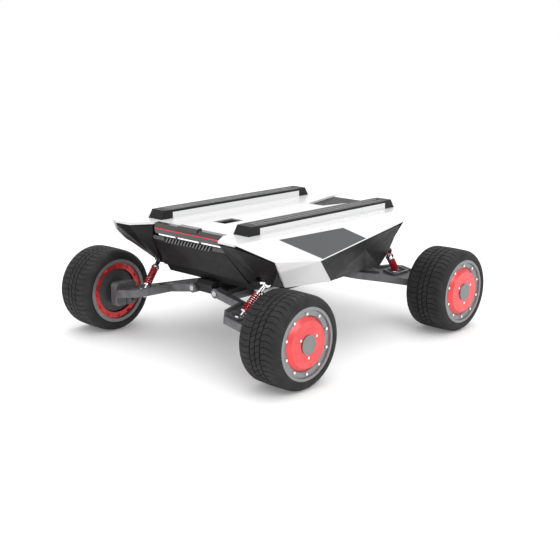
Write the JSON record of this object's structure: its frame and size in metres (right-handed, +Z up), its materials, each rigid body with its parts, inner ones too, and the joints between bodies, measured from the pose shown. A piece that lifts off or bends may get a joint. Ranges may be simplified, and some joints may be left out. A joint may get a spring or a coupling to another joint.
{
  "type": "four wheel robot chassis",
  "caption": "Low wheeled robot base with wide tyres on red hub motors, sprung transverse arms, a folded white deck with T-slot equipment rails and black fenders.",
  "frame": {"origin": "on the ground, at the centre of the wheelbase and of the track", "axes": "+X towards the front of the vehicle, +Y towards its left side, +Z up"},
  "size_m": [0.612, 0.5792, 0.246],
  "materials": {
    "white_gloss": "glossy white paint on moulded covers",
    "black_plastic": "satin black moulded plastic",
    "black_gloss": "gloss black with a faint red sheen",
    "silver_trim": "brushed silver louvres",
    "hull_black": "dark moulded tub",
    "rail_black": "black anodised extrusion with bright slot",
    "port_black": "black connector inserts",
    "battery_case": "shrink-wrapped lithium pack",
    "controller_case": "finned motor-driver case",
    "steel_pin": "ground steel hinge pins",
    "button_red": "red push button",
    "cast_dark": "dark grey coated casting",
    "axle_dark": "dark turned steel",
    "tyre": "charcoal rubber",
    "rim_grey": "grey coated rim",
    "hub_red": "red anodised motor housing",
    "trim_metal": "grey cap and bright bolts",
    "damper_black": "black damper tube",
    "chrome_rod": "chromed rod",
    "spring_red": "red coated spring"
  },
  "bodies": {
    "chassis": {"hull_tub": "hull_black", "top_cover": "white_gloss", "side_panel_left": "white_gloss", "side_panel_right": "white_gloss", "front_bumper": "black_plastic", "front_wing": "black_gloss", "front_grille": "silver_trim", "rear_panel": "black_plastic", "fender_front_left": "black_plastic", "fender_front_right": "black_plastic", "fender_rear_left": "black_plastic", "fender_rear_right": "black_plastic", "rails": "rail_black", "rail_risers": "white_gloss", "rail_end_caps": "black_plastic", "connector_ports": "port_black", "battery": "battery_case", "controller": "controller_case", "arm_pins": "steel_pin"},
    "power_button": {"power_button": "button_red"},
    "arm_front_left": {"control_arm_front_left": "cast_dark", "axle_carrier_front_left": "cast_dark", "hub_axle_front_left": "axle_dark"},
    "wheel_front_left": {"tyre_front_left": "tyre", "rim_front_left": "rim_grey", "motor_housing_front_left": "hub_red", "wheel_trim_front_left": "trim_metal"},
    "damper_front_left": {"damper_body_front_left": "damper_black", "spring_front_left": "spring_red"},
    "damper_rod_front_left": {"damper_rod_front_left": "chrome_rod"},
    "arm_front_right": {"control_arm_front_right": "cast_dark", "axle_carrier_front_right": "cast_dark", "hub_axle_front_right": "axle_dark"},
    "wheel_front_right": {"tyre_front_right": "tyre", "rim_front_right": "rim_grey", "motor_housing_front_right": "hub_red", "wheel_trim_front_right": "trim_metal"},
    "damper_front_right": {"damper_body_front_right": "damper_black", "spring_front_right": "spring_red"},
    "damper_rod_front_right": {"damper_rod_front_right": "chrome_rod"},
    "arm_rear_left": {"control_arm_rear_left": "cast_dark", "axle_carrier_rear_left": "cast_dark", "hub_axle_rear_left": "axle_dark"},
    "wheel_rear_left": {"tyre_rear_left": "tyre", "rim_rear_left": "rim_grey", "motor_housing_rear_left": "hub_red", "wheel_trim_rear_left": "trim_metal"},
    "damper_rear_left": {"damper_body_rear_left": "damper_black", "spring_rear_left": "spring_red"},
    "damper_rod_rear_left": {"damper_rod_rear_left": "chrome_rod"},
    "arm_rear_right": {"control_arm_rear_right": "cast_dark", "axle_carrier_rear_right": "cast_dark", "hub_axle_rear_right": "axle_dark"},
    "wheel_rear_right": {"tyre_rear_right": "tyre", "rim_rear_right": "rim_grey", "motor_housing_rear_right": "hub_red", "wheel_trim_rear_right": "trim_metal"},
    "damper_rear_right": {"damper_body_rear_right": "damper_black", "spring_rear_right": "spring_red"},
    "damper_rod_rear_right": {"damper_rod_rear_right": "chrome_rod"}
  },
  "joints": [
    {"name": "power_button_press", "type": "slide", "parent": "chassis", "child": "power_button", "axis": [0.9129, 0, 0.4081], "range_m": [0, 0.002], "stiffness_N_per_m": 600},
    {"name": "arm_front_left_swing", "type": "hinge", "parent": "chassis", "child": "arm_front_left", "pos_m": [0.144, 0.03, 0.11], "axis": [1, 0, 0], "range_deg": [-6, 6], "stiffness_Nm_per_rad": 160, "springref_deg": -3.78},
    {"name": "wheel_front_left_spin", "type": "hinge", "parent": "arm_front_left", "child": "wheel_front_left", "pos_m": [0.226, 0.245, 0.08], "axis": [0, 1, 0], "continuous": true},
    {"name": "damper_front_left_swing", "type": "hinge", "parent": "chassis", "child": "damper_front_left", "pos_m": [0.172, 0.141, 0.147], "axis": [0, -1, 0], "range_deg": [-5.78, 5.78]},
    {"name": "damper_front_left_stroke", "type": "slide", "parent": "damper_front_left", "child": "damper_rod_front_left", "axis": [0.6785, -0.1633, -0.7162], "range_m": [-0.008, 0.008], "deforming": ["spring_front_left"]},
    {"name": "arm_front_right_swing", "type": "hinge", "parent": "chassis", "child": "arm_front_right", "pos_m": [0.144, -0.03, 0.11], "axis": [-1, 0, 0], "range_deg": [-6, 6], "stiffness_Nm_per_rad": 160, "springref_deg": -3.78},
    {"name": "wheel_front_right_spin", "type": "hinge", "parent": "arm_front_right", "child": "wheel_front_right", "pos_m": [0.226, -0.245, 0.08], "axis": [0, 1, 0], "continuous": true},
    {"name": "damper_front_right_swing", "type": "hinge", "parent": "chassis", "child": "damper_front_right", "pos_m": [0.172, -0.141, 0.147], "axis": [0, -1, 0], "range_deg": [-5.78, 5.78]},
    {"name": "damper_front_right_stroke", "type": "slide", "parent": "damper_front_right", "child": "damper_rod_front_right", "axis": [0.6785, 0.1633, -0.7162], "range_m": [-0.008, 0.008], "deforming": ["spring_front_right"]},
    {"name": "arm_rear_left_swing", "type": "hinge", "parent": "chassis", "child": "arm_rear_left", "pos_m": [-0.144, 0.03, 0.11], "axis": [1, 0, 0], "range_deg": [-6, 6], "stiffness_Nm_per_rad": 160, "springref_deg": -3.78},
    {"name": "wheel_rear_left_spin", "type": "hinge", "parent": "arm_rear_left", "child": "wheel_rear_left", "pos_m": [-0.226, 0.245, 0.08], "axis": [0, 1, 0], "continuous": true},
    {"name": "damper_rear_left_swing", "type": "hinge", "parent": "chassis", "child": "damper_rear_left", "pos_m": [-0.172, 0.141, 0.147], "axis": [0, 1, 0], "range_deg": [-5.78, 5.78]},
    {"name": "damper_rear_left_stroke", "type": "slide", "parent": "damper_rear_left", "child": "damper_rod_rear_left", "axis": [-0.6785, -0.1633, -0.7162], "range_m": [-0.008, 0.008], "deforming": ["spring_rear_left"]},
    {"name": "arm_rear_right_swing", "type": "hinge", "parent": "chassis", "child": "arm_rear_right", "pos_m": [-0.144, -0.03, 0.11], "axis": [-1, 0, 0], "range_deg": [-6, 6], "stiffness_Nm_per_rad": 160, "springref_deg": -3.78},
    {"name": "wheel_rear_right_spin", "type": "hinge", "parent": "arm_rear_right", "child": "wheel_rear_right", "pos_m": [-0.226, -0.245, 0.08], "axis": [0, 1, 0], "continuous": true},
    {"name": "damper_rear_right_swing", "type": "hinge", "parent": "chassis", "child": "damper_rear_right", "pos_m": [-0.172, -0.141, 0.147], "axis": [0, 1, 0], "range_deg": [-5.78, 5.78]},
    {"name": "damper_rear_right_stroke", "type": "slide", "parent": "damper_rear_right", "child": "damper_rod_rear_right", "axis": [-0.6785, 0.1633, -0.7162], "range_m": [-0.008, 0.008], "deforming": ["spring_rear_right"]}
  ],
  "couplings": [
    {"joint": "damper_front_left_swing", "follows": "arm_front_left_swing", "ratio": 0.864},
    {"joint": "damper_front_left_stroke", "follows": "arm_front_left_swing", "m_per_rad": -0.07066},
    {"joint": "damper_front_right_swing", "follows": "arm_front_right_swing", "ratio": 0.864},
    {"joint": "damper_front_right_stroke", "follows": "arm_front_right_swing", "m_per_rad": -0.07066},
    {"joint": "damper_rear_left_swing", "follows": "arm_rear_left_swing", "ratio": 0.864},
    {"joint": "damper_rear_left_stroke", "follows": "arm_rear_left_swing", "m_per_rad": -0.07066},
    {"joint": "damper_rear_right_swing", "follows": "arm_rear_right_swing", "ratio": 0.864},
    {"joint": "damper_rear_right_stroke", "follows": "arm_rear_right_swing", "m_per_rad": -0.07066}
  ]
}
